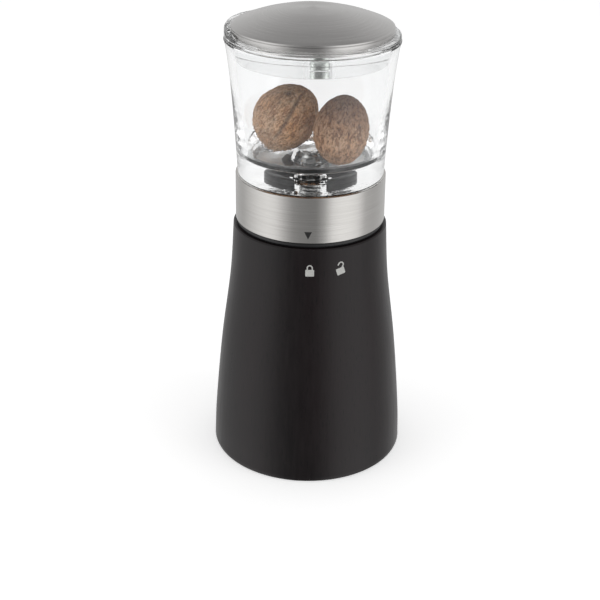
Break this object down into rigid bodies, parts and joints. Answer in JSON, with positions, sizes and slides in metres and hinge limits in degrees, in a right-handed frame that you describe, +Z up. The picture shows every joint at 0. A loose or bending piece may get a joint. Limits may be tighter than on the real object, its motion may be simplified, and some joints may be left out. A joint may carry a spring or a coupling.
{
  "type": "mechanical nutmeg grater",
  "caption": "Upright hand-turned nutmeg mill: turned wooden body, steel band, clear storage hopper, domed steel lid and a sprung claw carrier over a toothed plate.",
  "frame": {"origin": "centre of the wooden body's foot ring, on the surface the mill stands on", "axes": "+Z up along the turning axis, -Y towards the pointer and the padlock signs, +X to the right seen from the front"},
  "size_m": [0.0676, 0.0676, 0.16],
  "materials": {
    "stained_wood": "satin dark stained beech",
    "black_plastic": "moulded matt",
    "brushed_steel": "fine brushed stainless",
    "bright_steel": "bright stainless",
    "nickel_plate": "polished nickel",
    "white_acetal": "satin",
    "clear_acrylic": "clear polished",
    "nutmeg_light": "wrinkled dry seed",
    "nutmeg_dark": "wrinkled dry seed"
  },
  "bodies": {
    "body": {"wood_body": "stained_wood", "chamber_liner": "black_plastic", "bayonet_socket": "black_plastic", "grater_plate": "bright_steel", "grater_ring": "black_plastic", "ring_screws": "bright_steel"},
    "head": {"head_housing": "black_plastic", "steel_band": "brushed_steel", "bearing_bush": "white_acetal", "thrust_washer": "bright_steel", "slip_ring": "black_plastic"},
    "hopper": {"clear_hopper": "clear_acrylic", "drive_hub": "black_plastic", "drive_plate": "white_acetal", "spindle": "bright_steel", "retaining_clip": "bright_steel", "spring_seat": "bright_steel", "nutmeg_left": "nutmeg_light", "nutmeg_right": "nutmeg_dark"},
    "pusher": {"claw_carrier": "black_plastic", "claw_1": "bright_steel", "claw_2": "bright_steel", "claw_3": "bright_steel", "claw_4": "bright_steel", "claw_rivets": "bright_steel", "pusher_spring": "bright_steel"},
    "lid": {"lid_dome": "brushed_steel", "lid_plug": "clear_acrylic", "lid_stud": "nickel_plate"}
  },
  "joints": [
    {"name": "lock_turn", "type": "hinge", "parent": "body", "child": "head", "pos_m": [0, 0, 0.0846], "axis": [0, 0, 1], "range_deg": [0, 24.5]},
    {"name": "grind_turn", "type": "hinge", "parent": "head", "child": "hopper", "pos_m": [0, 0, 0.0925], "axis": [0, 0, 1], "continuous": true},
    {"name": "press_slide", "type": "slide", "parent": "hopper", "child": "pusher", "axis": [0, 0, 1], "range_m": [0, 0.0215], "stiffness_N_per_m": 150, "springref_m": -0.02, "deforming": ["pusher_spring"]},
    {"name": "lid_lift", "type": "slide", "parent": "hopper", "child": "lid", "axis": [0, 0, 1], "range_m": [0, 0.025]}
  ]
}
